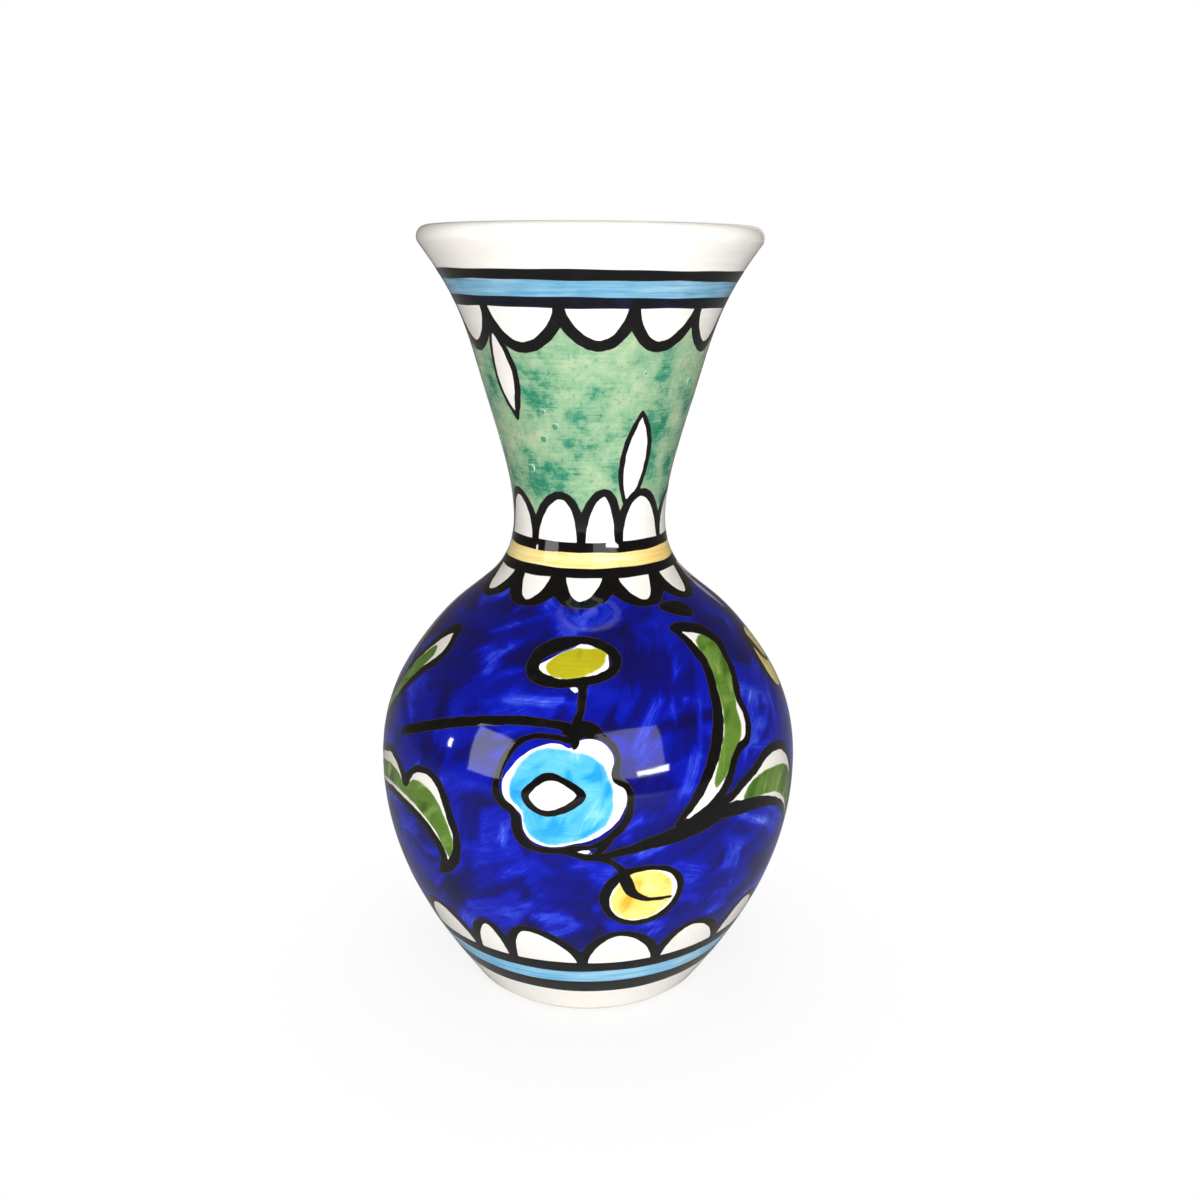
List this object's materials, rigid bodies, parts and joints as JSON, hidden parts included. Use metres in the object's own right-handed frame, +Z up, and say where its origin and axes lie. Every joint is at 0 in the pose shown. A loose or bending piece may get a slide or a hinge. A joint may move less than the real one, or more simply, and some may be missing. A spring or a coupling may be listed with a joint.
{
  "type": "vase",
  "caption": "Hand-painted talavera vase with a round belly, a narrow waist and a flared neck, in white glaze with coloured enamel flowers and leaves.",
  "frame": {"origin": "centre of the foot, in the plane that the vase stands on", "axes": "+Z up along the axis of the vase, -Y towards the front, where the first painted flower is, +X to the right of someone who faces that flower"},
  "size_m": [0.1124, 0.1124, 0.2],
  "materials": {
    "bare_clay": "matt",
    "white_glaze": "gloss",
    "black_enamel": "gloss",
    "sky_enamel": "gloss",
    "yellow_enamel": "gloss",
    "green_enamel": "gloss",
    "leaf_enamel": "gloss",
    "petal_enamel": "gloss",
    "olive_enamel": "gloss",
    "cobalt_enamel": "gloss"
  },
  "bodies": {
    "root": {"clay_body": "bare_clay", "inner_glaze": "white_glaze", "outer_glaze": "white_glaze", "neck_black_upper": "black_enamel", "neck_sky": "sky_enamel", "neck_black_lower": "black_enamel", "waist_black_upper": "black_enamel", "waist_yellow": "yellow_enamel", "waist_black_lower": "black_enamel", "foot_black_upper": "black_enamel", "foot_sky": "sky_enamel", "foot_black_lower": "black_enamel", "neck_hanging_scallops": "black_enamel", "neck_standing_scallops": "black_enamel", "shoulder_scallops": "black_enamel", "foot_scallops": "black_enamel", "neck_leaf_lines": "black_enamel", "green_ground": "green_enamel", "leaf_lines": "black_enamel", "leaf_greens": "leaf_enamel", "flower_lines": "black_enamel", "flower_eyes": "black_enamel", "flower_petals": "petal_enamel", "bud_lines": "black_enamel", "olive_bud_fills": "olive_enamel", "yellow_bud_fills": "yellow_enamel", "stem_lines": "black_enamel", "cobalt_ground": "cobalt_enamel"}
  },
  "joints": []
}
